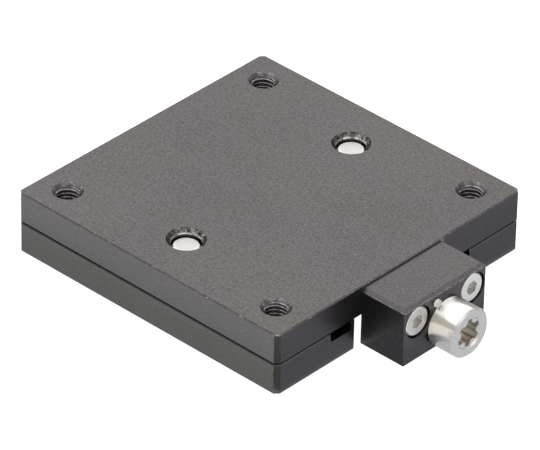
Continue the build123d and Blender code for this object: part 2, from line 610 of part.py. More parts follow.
# ---------------------------------------------------------------------------
# Knob with a six-lobed recess, pressed on the journal
# ---------------------------------------------------------------------------
with BuildPart() as knob:
    with BuildSketch(Plane.YZ.offset(KNOB_X0)):
        with Locations((AXIS_Y, AXIS_Z)):
            Circle(KNOB_R)
    extrude(amount=KNOB_X1 - KNOB_X0)
    chamfer(knob.edges().group_by(Axis.X)[-1], 0.22)
    chamfer(knob.edges().group_by(Axis.X)[0], 0.12)
    # blind bore for the journal
    with BuildSketch(Plane.YZ.offset(KNOB_X0)):
        with Locations((AXIS_Y, AXIS_Z)):
            Circle(JOURNAL_R)
    extrude(amount=JOURNAL_END - KNOB_X0, mode=Mode.SUBTRACT)
    # drive recess
    with BuildSketch(Plane.YZ.offset(KNOB_X1)):
        with Locations((AXIS_Y, AXIS_Z)):
            Circle(LOBE_R)
            with PolarLocations(VALLEY_R + VALLEY_ARC, 6, start_angle=LOBE_ANGLE + 30):
                Circle(VALLEY_ARC, mode=Mode.SUBTRACT)
        fillet(vertices(Select.ALL), 0.24)
    extrude(amount=-RECESS_DEPTH, mode=Mode.SUBTRACT)
    with BuildSketch(Plane.YZ.offset(KNOB_X1)):
        with Locations((AXIS_Y, AXIS_Z)):
            Circle(LEAD_R)
    extrude(amount=-LEAD_DEPTH, taper=45, mode=Mode.SUBTRACT)
knob.part.label = "knob"

# ---------------------------------------------------------------------------
# One file per piece
# ---------------------------------------------------------------------------
os.makedirs("parts", exist_ok=True)
export_step(base_plate.part, "parts/base_plate.step")
export_step(table_plate.part, "parts/table_plate.step")
export_step(base_rail_left.part, "parts/base_rail_left.step")
export_step(base_rail_right.part, "parts/base_rail_right.step")
export_step(table_rail_left.part, "parts/table_rail_left.step")
export_step(table_rail_right.part, "parts/table_rail_right.step")
export_step(balls_left.part, "parts/balls_left.step")
export_step(balls_right.part, "parts/balls_right.step")
export_step(retainer_left.part, "parts/retainer_left.step")
export_step(retainer_right.part, "parts/retainer_right.step")
export_step(rail_pins.part, "parts/rail_pins.step")
export_step(base_rail_screws.part, "parts/base_rail_screws.step")
export_step(table_rail_screws.part, "parts/table_rail_screws.step")
export_step(feed_nut.part, "parts/feed_nut.step")
export_step(nut_screws.part, "parts/nut_screws.step")
export_step(feed_screw.part, "parts/feed_screw.step")
export_step(e_ring.part, "parts/e_ring.step")
export_step(bracket_bush.part, "parts/bracket_bush.step")
export_step(spring_washer.part, "parts/spring_washer.step")
export_step(bracket.part, "parts/bracket.step")
export_step(bracket_pin.part, "parts/bracket_pin.step")
export_step(bracket_screw_left.part, "parts/bracket_screw_left.step")
export_step(bracket_screw_right.part, "parts/bracket_screw_right.step")
export_step(knob.part, "parts/knob.step")
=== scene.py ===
import bmesh
import bpy
import math
from mathutils import Matrix, Vector


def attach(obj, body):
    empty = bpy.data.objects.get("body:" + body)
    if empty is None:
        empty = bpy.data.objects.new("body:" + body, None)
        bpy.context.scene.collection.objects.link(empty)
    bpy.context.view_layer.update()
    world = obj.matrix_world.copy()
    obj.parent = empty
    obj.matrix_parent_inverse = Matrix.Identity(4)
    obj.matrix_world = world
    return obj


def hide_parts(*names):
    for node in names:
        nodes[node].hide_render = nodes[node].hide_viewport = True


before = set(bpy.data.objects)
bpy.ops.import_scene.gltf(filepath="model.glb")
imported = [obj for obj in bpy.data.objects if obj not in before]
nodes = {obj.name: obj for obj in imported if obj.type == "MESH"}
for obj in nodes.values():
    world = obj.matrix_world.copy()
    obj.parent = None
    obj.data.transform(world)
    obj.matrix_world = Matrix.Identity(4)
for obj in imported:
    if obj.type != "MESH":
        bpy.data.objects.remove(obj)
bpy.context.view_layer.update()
MM = 0.001
AXIS_Y, AXIS_Z = 0.25, 3.2      # feed screw axis, mm
PITCH = 0.5                     # thread pitch, mm
SINK = 1.8                      # countersink radius of the M3 holes, mm

scene = bpy.context.scene


# ---------------------------------------------------------------------------
# Node helpers
# ---------------------------------------------------------------------------
class Shade:
    """A material built from procedural nodes in object coordinates."""

    def __init__(self, name):
        self.material = bpy.data.materials.new(name)
        self.material.use_nodes = True
        self.tree = self.material.node_tree
        self.tree.nodes.clear()
        self.out = self.tree.nodes.new("ShaderNodeOutputMaterial")
        self.bsdf = self.tree.nodes.new("ShaderNodeBsdfPrincipled")
        self.tree.links.new(self.bsdf.outputs[0], self.out.inputs[0])
        self.where = self.tree.nodes.new("ShaderNodeTexCoord")
        self.pos = self.where.outputs["Object"]
        self.normal = self.where.outputs["Normal"]

    def put(self, socket, value):
        if isinstance(value, bpy.types.NodeSocket):
            self.tree.links.new(value, socket)
        elif socket.type == "RGBA" and not hasattr(value, "__len__"):
            socket.default_value = (value, value, value, 1)
        elif socket.type == "RGBA" and len(value) == 3:
            socket.default_value = (*value, 1)
        else:
            socket.default_value = value

    def math(self, op, a, b=0.0, c=None, clamp=False):
        n = self.tree.nodes.new("ShaderNodeMath")
        n.operation = op
        n.use_clamp = clamp
        self.put(n.inputs[0], a)
        self.put(n.inputs[1], b)
        if c is not None:
            self.put(n.inputs[2], c)
        return n.outputs[0]

    def vec(self, op, a, b=(0, 0, 0), out=0, scale=None):
        n = self.tree.nodes.new("ShaderNodeVectorMath")
        n.operation = op
        self.put(n.inputs[0], a)
        self.put(n.inputs[1], b)
        if scale is not None:
            self.put(n.inputs["Scale"], scale)
        return n.outputs[out]

    def split(self, v):
        n = self.tree.nodes.new("ShaderNodeSeparateXYZ")
        self.put(n.inputs[0], v)
        return n.outputs[0], n.outputs[1], n.outputs[2]

    def join(self, x, y, z):
        n = self.tree.nodes.new("ShaderNodeCombineXYZ")
        for i, v in enumerate((x, y, z)):
            self.put(n.inputs[i], v)
        return n.outputs[0]

    def noise(self, v, scale, detail=2.0, rough=0.5, lac=2.0, distort=0.0):
        n = self.tree.nodes.new("ShaderNodeTexNoise")
        self.put(n.inputs["Vector"], v)
        n.inputs["Scale"].default_value = scale
        n.inputs["Detail"].default_value = detail
        n.inputs["Roughness"].default_value = rough
        n.inputs["Lacunarity"].default_value = lac
        n.inputs["Distortion"].default_value = distort
        return n.outputs[0]

    def cells(self, v, scale, feature="F1", out="Distance", random=1.0):
        n = self.tree.nodes.new("ShaderNodeTexVoronoi")
        n.feature = feature
        self.put(n.inputs["Vector"], v)
        n.inputs["Scale"].default_value = scale
        n.inputs["Randomness"].default_value = random
        return n.outputs[out]

    def remap(self, v, a, b, c=0.0, d=1.0, smooth=False):
        n = self.tree.nodes.new("ShaderNodeMapRange")
        n.interpolation_type = "SMOOTHSTEP" if smooth else "LINEAR"
        n.clamp = True
        self.put(n.inputs["Value"], v)
        for key, x in (("From Min", a), ("From Max", b), ("To Min", c), ("To Max", d)):
            n.inputs[key].default_value = x
        return n.outputs[0]

    def mix(self, f, a, b):
        n = self.tree.nodes.new("ShaderNodeMix")
        n.data_type = "RGBA"
        self.put(n.inputs[0], f)
        self.put(n.inputs[6], a)
        self.put(n.inputs[7], b)
        return n.outputs[2]

    def lerp(self, f, a, b):
        return self.math("MULTIPLY_ADD", f, self.math("SUBTRACT", b, a), a)

    def ramp(self, at, stops):
        n = self.tree.nodes.new("ShaderNodeValToRGB")
        els = n.color_ramp.elements
        els[0].position, els[0].color = stops[0][0], (*stops[0][1], 1)
        els[1].position, els[1].color = stops[-1][0], (*stops[-1][1], 1)
        for p, c in stops[1:-1]:
            e = els.new(p)
            e.color = (*c, 1)
        self.put(n.inputs[0], at)
        return n.outputs[0]

    def tint(self, colour, factor):
        """colour times a factor."""
        n = self.tree.nodes.new("ShaderNodeVectorMath")
        n.operation = "SCALE"
        self.put(n.inputs[0], colour)
        self.put(n.inputs["Scale"], factor)
        return n.outputs[0]

    def bump(self, height, strength, depth):
        n = self.tree.nodes.new("ShaderNodeBump")
        self.put(n.inputs["Height"], height)
        n.inputs["Strength"].default_value = strength
        n.inputs["Distance"].default_value = depth
        self.tree.links.new(n.outputs[0], self.bsdf.inputs["Normal"])

    def radial(self, cx, cy, cz, axis):
        """Distance from an axis through a point, and the place along it."""
        x, y, z = self.split(self.vec("SUBTRACT", self.pos, (cx, cy, cz)))
        along, u, v = {"x": (x, y, z), "y": (y, x, z), "z": (z, x, y)}[axis]
        r = self.math("SQRT", self.math("ADD", self.math("MULTIPLY", u, u), self.math("MULTIPLY", v, v)))
        return r, along, u, v

    def done(self, colour, metallic, rough):
        self.put(self.bsdf.inputs["Base Color"], colour)
        self.bsdf.inputs["Metallic"].default_value = metallic
        self.put(self.bsdf.inputs["Roughness"], rough)
        return self.material


def chamfer_mask(s, low=0.90, high=0.985):
    """1 on faces that aren't square to an axis."""
    x, y, z = s.split(s.vec("ABSOLUTE", s.normal))
    top = s.math("MAXIMUM", s.math("MAXIMUM", x, y), z)
    return s.remap(top, low, high, 1.0, 0.0, smooth=True)


# ---------------------------------------------------------------------------
# Materials
# ---------------------------------------------------------------------------
def anodised(name, colour=(0.0965, 0.0915, 0.0915), rough=0.33, wear=1.0, line=None, line_wear_and_highlight=(0.30, 0.292, 0.288), top=None, lit_gap_strip=False, edge=0.42):
    """Fine blasted and anodised aluminium: soft grain, small pale grains, corners and edges worn in places. Also
    painted light and shade: faces tinted by how light falls on them (top), darker left-facing chamfers (edge), a
    lighter band on the front face above the block, a highlight line low on the bracket's chamfers (line) and glints at
    the plates' upper corners.
    """
    s = Shade(name)
    fine = s.noise(s.pos, 6800, 1.5, 0.6)
    mid = s.noise(s.pos, 3000, 2.0, 0.6)
    grit = s.cells(s.pos, 6400)
    cloud = s.noise(s.pos, 85, 3.0, 0.5)
    g = s.math("ADD", s.remap(fine, 0.30, 0.70, -0.26, 0.26), s.remap(mid, 0.3, 0.7, -0.22, 0.22))
    g = s.math("ADD", g, s.remap(cloud, 0.3, 0.7, -0.04, 0.04))
    pale = s.remap(grit, 0.15, 0.02, 0.0, 0.40)
    ax, ay, az = s.split(s.vec("ABSOLUTE", s.normal))
    flat = s.remap(az, 0.5, 0.9)
    g = s.math("MULTIPLY", s.math("ADD", g, pale), s.remap(flat, 0.0, 1.0, 0.55, 1.0))
    g = s.math("ADD", g, 1.0)
    brown = (colour[0] * 1.015, colour[1] * 0.995, colour[2] * 0.975)
    violet = (colour[0] * 1.005, colour[1] * 0.985, colour[2] * 1.035)
    hue = s.mix(s.remap(s.noise(s.vec("ADD", s.pos, (0.7, 0.2, 0.1)), 95, 2.0, 0.5), 0.40, 0.60), brown, violet)
    hue = s.mix(s.remap(s.noise(s.pos, 2300, 2.0, 0.5), 0.42, 0.58, 0.0, 0.5), hue, (colour[0] * 0.985, colour[1] * 1.01, colour[2] * 1.01))
    # painted light: top tints the upward faces lighter and warmer
    if top:
        hue = s.vec("MULTIPLY", hue, top)
    # the upright faces are smoother and more neutral than the top. Painted light and shade by face: the top is tinted
    # lighter and warmer, the left face greener, the front face darker and cooler
    left_painted_tint = (colour[0] * 0.98, colour[1] * 1.042, colour[2] * 1.02)
    front_painted_shade = (colour[0] * 0.95, colour[1] * 0.955, colour[2] * 1.0)
    hue = s.mix(flat, s.mix(s.remap(ax, 0.5, 0.9), left_painted_tint, front_painted_shade), hue)
    body = s.tint(hue, g)
    # painted shade: chamfers that face left and up are made darker by the factor edge. Rubbed only where a chamfer
    # meets the top, in short stretches
    x, y, z = s.split(s.normal)
    left_chamfer_shade = s.math("MULTIPLY", s.math("MULTIPLY", chamfer_mask(s), s.remap(z, 0.3, 0.6)), s.remap(y, -0.3, -0.6))
    body = s.tint(body, s.remap(left_chamfer_shade, 0.0, 1.0, 1.0, edge))
    slope = s.math("MULTIPLY", chamfer_mask(s), s.remap(z, 0.3, 0.6))
    side = s.remap(x, 0.2, 0.6, 0.75 * wear, 0.95 * wear)
    slope = s.math("MULTIPLY", slope, side)
    patch = s.remap(s.noise(s.pos, 700, 3.0, 0.6), 0.50, 0.70)
    speck = s.remap(s.noise(s.pos, 3600, 1.0, 0.5), 0.64, 0.76)
    body = s.mix(s.math("MULTIPLY", slope, s.math("MULTIPLY", patch, 0.35)), body, (0.15, 0.146, 0.142))
    bare = s.mix(s.remap(y, -0.3, -0.6), (0.40, 0.39, 0.38), (0.44, 0.43, 0.42))
    body = s.mix(s.math("MULTIPLY", slope, s.math("MULTIPLY", speck, 0.75)), body, bare)
    # bare metal showing at the plates' upper corners, which also stands in for corner glints: a painted highlight
    px, py, pz = s.split(s.vec("ABSOLUTE", s.pos))
    out = s.math("MULTIPLY", s.remap(s.math("ADD", px, py), 0.03922, 0.03945), s.remap(pz, 0.00775, 0.0079))
    chip_and_glint = s.remap(s.noise(s.pos, 2600, 2.0, 0.6), 0.46, 0.60)
    body = s.mix(s.math("MULTIPLY", s.math("MULTIPLY", out, chip_and_glint), 0.5 * wear), body, (0.62, 0.60, 0.58))
    # a broken light line low on the chamfer, at the bracket's lower chamfer edge: partly wear, partly a painted
    # highlight
    if line:
        low = s.remap(s.split(s.pos)[2], (line + 0.12) * MM, (line + 0.07) * MM)
        dots = s.remap(s.noise(s.pos, 3100, 1.0, 0.5), 0.46, 0.64, 0.0, 0.8)
        body = s.mix(s.math("MULTIPLY", low, dots), body, line_wear_and_highlight)
    if lit_gap_strip:
        # painted light: the part of the front face that shows over the block, and the chamfer above it, are made
        # lighter, though the block keeps them in shade
        qx, qy, qz = s.split(s.pos)
        wide = s.remap(s.math("ABSOLUTE", s.math("SUBTRACT", qy, AXIS_Y * MM)), 6.8 * MM, 6.5 * MM)
        over = s.math("MULTIPLY", s.math("MULTIPLY", wide, s.remap(qz, 7.30 * MM, 7.40 * MM)), s.remap(x, 0.3, 0.6))
        body = s.tint(body, s.lerp(over, 1.0, s.remap(z, 0.3, 0.6, 2.7, 1.4)))
    ro = s.math("ADD", s.remap(fine, 0.3, 0.7, -0.05, 0.05), rough)
    s.bump(s.math("ADD", fine, s.math("MULTIPLY", mid, 0.8)), 0.35, 4.5e-6)
    return s.done(body, 1.0, ro)


def anodised_bore(name, colour=(0.118, 0.114, 0.112), shine=0.24, chatter=0.5, flecks=0.5, cloud=0.0, crest=False, lip=None, bare=(0.46, 0.45, 0.43)):
    """Cut thread and countersink under the anodising: shinier than the blasted faces, with turning marks. Painted light
    and shade too: crest makes the thread crests lighter and the roots darker, lip paints a light ring at the cone's
    lower edge.
    """
    s = Shade(name)
    n = s.noise(s.pos, 3400, 2.0, 0.6)
    chips = s.noise(s.pos, 2600, 3.0, 0.65)
    z = s.split(s.pos)[2]
    ring = s.noise(s.join(0.0, 0.0, z), 26000, 1.0, 0.5)
    g = s.math("ADD", s.remap(n, 0.3, 0.7, 0.85, 1.15), s.remap(ring, 0.3, 0.7, -0.08, 0.08))
    g = s.math("ADD", g, s.remap(chips, 0.58, 0.72, 0.0, flecks))
    if cloud:
        dark = s.remap(s.noise(s.vec("ADD", s.pos, (0.3, 0.1, 0.0)), 2300, 3.0, 0.65), 0.40, 0.60, 1.0 - cloud, 1.0 + 0.4 * cloud)
        g = s.math("MULTIPLY", g, dark)
    s.bump(s.math("ADD", s.math("ADD", n, s.math("MULTIPLY", chips, 1.5 * cloud)), s.math("MULTIPLY", ring, 0.5)), chatter, 1.2e-5 * (1 + cloud))
    body = s.tint(colour, g)
    # painted light and shade on the M3 threads: lighter at the crests, darker towards the roots
    if crest:
        px, py, pz = s.split(s.vec("ABSOLUTE", s.pos))
        u, v = s.math("SUBTRACT", px, 16 * MM), s.math("SUBTRACT", py, 16 * MM)
        r = s.math("SQRT", s.math("ADD", s.math("MULTIPLY", u, u), s.math("MULTIPLY", v, v)))
        crest_light_root_shade = s.remap(r, 1.28 * MM, 1.46 * MM, 1.7, 0.6)
        body = s.tint(body, s.lerp(s.remap(r, 1.49 * MM, 1.55 * MM), crest_light_root_shade, 1.0))
    # a broken light ring at the countersink's lower edge: bare metal, and also a painted highlight
    if lip:
        low = s.math("MULTIPLY", s.remap(z, (lip + 0.17) * MM, (lip + 0.03) * MM), s.remap(z, (lip - 0.36) * MM, (lip - 0.24) * MM))
        broken = s.remap(s.noise(s.pos, 2300, 3.0, 0.6), 0.36, 0.56)
        body = s.mix(s.math("MULTIPLY", low, broken), body, bare)
    return s.done(body, 1.0, s.remap(n, 0.3, 0.7, shine - 0.06, shine + 0.06))


def metal(name, colour, rough=0.25, rings=None, streak=None, spots=0.25, gain=0.10, edge=None, depth=1.2e-6, turned=0.0, shade=None, metallic=1.0):
    """Machined metal. rings = (cx, cy, cz, axis) gives turning marks round an axis, streak = (sx, sy, sz) ground lines."""
    s = Shade(name)
    base = s.noise(s.pos, 1500, 3.0, 0.6)
    if rings:
        r, along, u, v = s.radial(*rings)
        fine = s.noise(s.join(r, along, 0.0), 21000, 2.0, 0.7)
        arc = s.noise(s.join(s.math("MULTIPLY", r, 14.0), s.math("MULTIPLY", along, 14.0), s.math("MULTIPLY", s.math("ARCTAN2", u, v), 0.0009)), 900, 2.0, 0.55)
        marks = s.math("ADD", s.math("MULTIPLY", fine, 0.65), s.math("MULTIPLY", arc, 0.35))
    elif streak:
        marks = s.noise(s.vec("MULTIPLY", s.pos, streak), 1.0, 3.0, 0.65)
    else:
        marks = s.noise(s.pos, 7000, 3.0, 0.65)
    g = s.math("ADD", s.remap(marks, 0.3, 0.7, -gain, gain), s.remap(base, 0.3, 0.7, -gain * 0.5, gain * 0.5))
    body = s.tint(colour, s.math("ADD", g, 1.0))
    dull = s.remap(s.cells(s.pos, 2600), 0.13, 0.03, 0.0, spots)
    body = s.mix(dull, body, tuple(0.45 * c for c in colour))
    if edge:
        body = s.mix(s.math("MULTIPLY", chamfer_mask(s, 0.8, 0.97), 0.8), body, edge)
    if shade:
        part = shade(s)
        body = s.vec("MULTIPLY", body, part) if part.type in ("VECTOR", "RGBA") else s.tint(body, part)
    ro = s.math("ADD", s.remap(marks, 0.3, 0.7, -0.06, 0.06), s.remap(base, 0.3, 0.7, rough - 0.04, rough + 0.05))
    s.bump(marks, 0.5, depth)
    if turned:
        t = s.tree.nodes.new("ShaderNodeTangent")
        t.direction_type = "RADIAL"
        t.axis = "X"
        s.tree.links.new(t.outputs[0], s.bsdf.inputs["Tangent"])
        s.bsdf.inputs["Anisotropic"].default_value = turned
        s.bsdf.inputs["Anisotropic Rotation"].default_value = 0.25
    return s.done(body, metallic, ro)


looks = {
    # top and edge give this plate painted light and shade by face and on the chamfers; the front face above the block
    # is painted lighter
    "anodised_black": anodised("anodised_black_blasted", top=(1.065, 1.05, 1.035), lit_gap_strip=True, edge=0.76),
    "hardened_steel": metal("hardened_steel_ground", (0.50, 0.50, 0.51), 0.22, streak=(260, 9000, 9000), gain=0.16),
    "ball_steel": metal("ball_steel_polished", (0.66, 0.66, 0.67), 0.07, gain=0.03, spots=0.12, depth=2e-7),
    "brass": metal("brass_machined", (0.72, 0.53, 0.24), 0.26, streak=(1200, 9000, 2200), gain=0.12),
    "bronze": metal("bronze_sintered", (0.55, 0.35, 0.18), 0.42, gain=0.2, spots=0.8),
    "spring_steel": metal("spring_steel_rolled", (0.48, 0.48, 0.49), 0.20, streak=(9000, 900, 9000), gain=0.12),
    "screw_steel": metal("screw_steel_satin", (0.50, 0.495, 0.48), 0.28, gain=0.10),
    "knob_nickel": metal("knob_nickel_plain", (0.60, 0.59, 0.57), 0.30, rings=(0, AXIS_Y * MM, AXIS_Z * MM, "x"), gain=0.05, spots=0.12),
}


def pin_rim_painted_light(s):
    """Painted highlight: the discs' rims are a little lighter than their middles."""
    x, y, z = s.split(s.pos)
    v = s.math("SUBTRACT", s.math("ABSOLUTE", y), 13.5 * MM)
    r = s.math("SQRT", s.math("ADD", s.math("MULTIPLY", x, x), s.math("MULTIPLY", v, v)))
    return s.remap(r, 1.10 * MM, 1.42 * MM, 1.0, 1.32, smooth=True)


looks["pin_steel"] = metal("pin_steel_turned", (0.60, 0.60, 0.585), 0.58, gain=0.07, depth=4e-6, shade=pin_rim_painted_light)
for name, o in nodes.items():
    for m in o.material_slots:
        m.material = looks[m.material.name.split(".")[0]]


def faced(node, body, materials, pick):
    """Copy of a piece whose faces take different materials."""
    mesh = nodes[node].data.copy()
    mesh.name = node + "_look"
    mesh.materials.clear()
    for m in materials:
        mesh.materials.append(m)
    for f in mesh.polygons:
        f.material_index = pick(f.center / MM, f.normal)
    o = bpy.data.objects.new(node + "_look", mesh)
    scene.collection.objects.link(o)
    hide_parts(node)
    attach(o, body)
    return o


# bracket screws: turned heads, plainer sockets
for side, y in (("left", -4.5), ("right", 4.5)):
    centre = (0, (AXIS_Y + y) * MM, 5.2 * MM, "x")

    def head_or_socket(c, n, cy=AXIS_Y + y):
        return 1 if math.hypot(c.y - cy, c.z - 5.2) < 0.9 and c.x < 26.19 else 0

    faced(f"bracket_screw_{side}", "table", [
        metal(f"screw_steel_head_{side}", (0.70, 0.695, 0.675), 0.27, rings=centre, gain=0.03, spots=0.06, edge=(0.90, 0.89, 0.87), depth=3e-7, metallic=0.85),
        metal(f"screw_steel_socket_{side}", (0.76, 0.75, 0.72), 0.34, gain=0.08),
    ], head_or_socket)


# bracket: lit and shaded copies of the same finish: the left face painted darker (painted shade), the upper chamfers
# painted lighter with a highlight line low on them (painted highlight)
def bracket_part(c, n):
    if n.y < -0.9:
        return 1
    if 0.5 < n.z < 0.9 and c.z > 7.1:
        return 2 if n.x > 0.5 else 3
    return 0


faced("bracket", "table", [
    anodised("anodised_black_block", wear=0.25),
    anodised("anodised_black_block_left", (0.056, 0.0525, 0.0535), 0.36, wear=0.0),
    anodised("anodised_black_block_front_edge", (0.136, 0.130, 0.130), wear=0.25, line=7.2),
    anodised("anodised_black_block_left_edge", (0.225, 0.215, 0.215), wear=0.25, line=7.2, line_wear_and_highlight=(0.19, 0.185, 0.182)),
], bracket_part)


# knob: axis-parallel sheen on the rim, turned end face, duller recess
def knob_part(c, n):
    r = math.hypot(c.y - AXIS_Y, c.z - AXIS_Z)
    if r > 2.75 and abs(n.x) < 0.3:
        return 0
    if r > 2.02 or (n.x > 0.98 and c.x > 30.0):
        return 1
    return 2 if c.x > 29.7 else 3


def recess_shade(s):
    """Painted shade: darker towards the bottom, with a warm cast low on the left and a green one above."""
    x, y, z = s.split(s.pos)
    deep = s.remap(x, 28.3 * MM, 29.7 * MM, 1.05, 1.22, smooth=True)
    side = s.remap(s.math("ADD", s.math("MULTIPLY", y, 0.75), z), 2.3 * MM, 4.4 * MM, 0.0, 1.0, smooth=True)
    return s.vec("SCALE", s.mix(side, (1.03, 0.965, 0.95), (0.975, 0.985, 0.93)), scale=deep)


axis = (0, AXIS_Y * MM, AXIS_Z * MM, "x")
faced("knob", "feed", [
    metal("knob_nickel_rim", (0.66, 0.65, 0.63), 0.17, rings=axis, gain=0.025, spots=0.05, depth=6e-7, turned=0.4, metallic=0.82),
    metal("knob_nickel_end", (0.575, 0.567, 0.555), 0.30, rings=axis, gain=0.04, spots=0.10),
    metal("knob_nickel_lead", (0.60, 0.59, 0.57), 0.30, rings=axis, gain=0.07, spots=0.15),
    metal("knob_nickel_recess", (0.60, 0.585, 0.56), 0.30, gain=0.16, spots=0.3, shade=recess_shade),
], knob_part)


# ---------------------------------------------------------------------------
# Plates with real threads in the M3 holes
# ---------------------------------------------------------------------------
def groove(t):
    """Depth share, 0 to 1, of a 60 degree thread groove at t pitches."""
    d = abs((t % 1.0) - 0.5) * 2
    return min(1.0, max(0.0, (0.70 - d) / 0.575))


def threaded_plate(node, body, z_sink, z_plain, finish):
    bm = bmesh.new()
    bm.from_mesh(nodes[node].data)
    bmesh.ops.remove_doubles(bm, verts=bm.verts, dist=2e-7)
    way = 1 if z_plain > z_sink else -1
    length = abs(z_plain - z_sink)
    rows = int(round(length / 0.036))
    cut = []
    for hx in (-16, 16):
        for hy in (-16, 16):
            def gap(v):
                return math.hypot(v.co.x / MM - hx, v.co.y / MM - hy)

            old = [
                f for f in bm.faces
                if all(gap(v) < SINK + 0.02 for v in f.verts)
                and max(v.co.z for v in f.verts) - min(v.co.z for v in f.verts) > 1e-6
            ]
            bmesh.ops.delete(bm, geom=old, context="FACES")
            rims = {}
            for z, r in ((z_sink, SINK), (z_plain, 1.25)):
                rim = [v for v in bm.verts if abs(v.co.z / MM - z) < 0.002 and abs(gap(v) - r) < 0.02]
                rim.sort(key=lambda v: math.atan2(v.co.y / MM - hy, v.co.x / MM - hx))
                rims[z] = rim
            first, last = rims[z_sink], rims[z_plain]
            assert len(first) == len(last), (node, len(first), len(last))
            count = len(first)
            angle = [math.atan2(v.co.y / MM - hy, v.co.x / MM - hx) for v in first]
            grid = [first]
            for j in range(1, rows):
                down = j * length / rows
                z = z_sink + way * down
                cone = SINK - down * math.tan(math.radians(50))
                fade = min(1.0, (length - down) / 0.2)
                row = []
                for a in angle:
                    r = 1.25 + 0.25 * fade * groove(z / PITCH - a / (2 * math.pi) + 0.13 * hx)
                    r = max(r, cone)
                    row.append(bm.verts.new(((hx + r * math.cos(a)) * MM, (hy + r * math.sin(a)) * MM, z * MM)))
                grid.append(row)
            grid.append(last)
            for upper, lower in zip(grid, grid[1:]):
                for i in range(count):
                    k = (i + 1) % count
                    quad = (upper[i], upper[k], lower[k], lower[i])
                    f = bm.faces.new(quad if way < 0 else quad[::-1])
                    cut.append(f)
    for f in bm.faces:
        f.smooth = True
        f.material_index = 0
    for f in cut:
        f.material_index = 1
    for f in bm.faces:
        c = f.calc_center_median() / MM
        if c.z > 7.3 and f.normal.z < 0.98 and math.hypot(c.x, abs(c.y) - 13.5) < 2.32:
            f.material_index = 2
    bm.normal_update()
    for e in bm.edges:
        if len(e.link_faces) == 2:
            turn = e.calc_face_angle(0.0)
            both = all(f.material_index == 1 for f in e.link_faces)
            e.smooth = both or turn < math.radians(28)
    mesh = bpy.data.meshes.new(node + "_threaded")
    for m in (finish, looks["bore"], looks["sink"]):
        mesh.materials.append(m)
    bm.to_mesh(mesh)
    bm.free()
    if "custom_normal" in mesh.attributes:
        mesh.attributes.remove(mesh.attributes["custom_normal"])
    o = bpy.data.objects.new(node + "_threaded", mesh)
    scene.collection.objects.link(o)
    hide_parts(node)
    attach(o, body)
    return o


looks["bore"] = anodised_bore("anodised_black_thread", (0.112, 0.108, 0.109), 0.29, 0.5, 1.8, 0.35, crest=True, lip=7.52, bare=(0.25, 0.246, 0.25))
looks["sink"] = anodised_bore("anodised_black_countersink", (0.092, 0.090, 0.083), 0.21, 1.0, 3.2, 0.75, lip=7.45)
threaded_plate("table_plate", "table", 8.0, 4.08, looks["anodised_black"])
threaded_plate("base_plate", "base", 0.0, 3.92, anodised("anodised_black_base", wear=0.0))


# ---------------------------------------------------------------------------
# Feed screw with its thread
# ---------------------------------------------------------------------------
def feed_screw():
    count = 48
    outline = [(-2.0, 0.0), (-2.0, 1.15)]
    steps = int(round(22.3 / 0.042))
    for i in range(1, steps):
        outline.append((-2.0 + i * 22.3 / steps, None))
    outline += [(20.3, 1.25), (20.78, 1.25), (20.78, 0.75), (21.22, 0.75), (21.22, 1.25), (27.8, 1.25), (28.0, 1.05), (28.0, 0.0)]
    bm = bmesh.new()
    grid = []
    for x, r in outline:
        row = []
        for i in range(count):
            a = 2 * math.pi * i / count
            rr = r
            if r is None:
                ends = min(1.15 + (x + 2.0), 1.25 + (20.3 - x), 1.5)
                rr = min(ends, 1.5 - 0.28 * groove(x / PITCH - a / (2 * math.pi) + 0.5) * min(1.0, max(0.0, (19.9 - x) / 0.5)))
            row.append(bm.verts.new((x * MM, (AXIS_Y + rr * math.cos(a)) * MM, (AXIS_Z + rr * math.sin(a)) * MM)))
            if rr == 0.0:
                break
        grid.append(row)
    for one, two in zip(grid, grid[1:]):
        for i in range(count):
            k = (i + 1) % count
            if len(one) == 1:
                bm.faces.new((one[0], two[k], two[i]))
            elif len(two) == 1:
                bm.faces.new((one[i], one[k], two[0]))
            else:
                bm.faces.new((one[i], one[k], two[k], two[i]))
    bmesh.ops.recalc_face_normals(bm, faces=bm.faces)
    for f in bm.faces:
        f.smooth = True
    for e in bm.edges:
        if len(e.link_faces) == 2:
            flat = all(abs(v.co.x / MM - 20.3) < 0.01 or v.co.x / MM > 20.3 or v.co.x / MM < -1.99 for v in e.verts)
            e.smooth = not (flat and e.calc_face_angle(0.0) > math.radians(28))
    mesh = bpy.data.meshes.new("feed_screw_threaded")
    bm.to_mesh(mesh)
    bm.free()
    mesh.materials.append(looks["screw_steel"])
    o = bpy.data.objects.new("feed_screw_threaded", mesh)
    scene.collection.objects.link(o)
    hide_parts("feed_screw")
    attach(o, "feed")
    return o


feed_screw()


# ---------------------------------------------------------------------------
# Floor and light
# ---------------------------------------------------------------------------
def floor():
    bpy.ops.mesh.primitive_plane_add(size=40, location=(0, 0, -0.00002))
    o = bpy.context.object
    o.name = "floor"
    s = Shade("floor_paper")
    n = s.noise(s.pos, 300, 3.0, 0.6)
    s.put(s.bsdf.inputs["Base Color"], s.mix(n, (0.28, 0.283, 0.288), (0.31, 0.312, 0.316)))
    s.bsdf.inputs["Roughness"].default_value = 0.9
    s.bsdf.inputs["Specular IOR Level"].default_value = 0.0
    s.bsdf.inputs["Emission Color"].default_value = (1.0, 1.0, 1.0, 1)
    s.bsdf.inputs["Emission Strength"].default_value = 1.06
    o.data.materials.append(s.material)
    return o


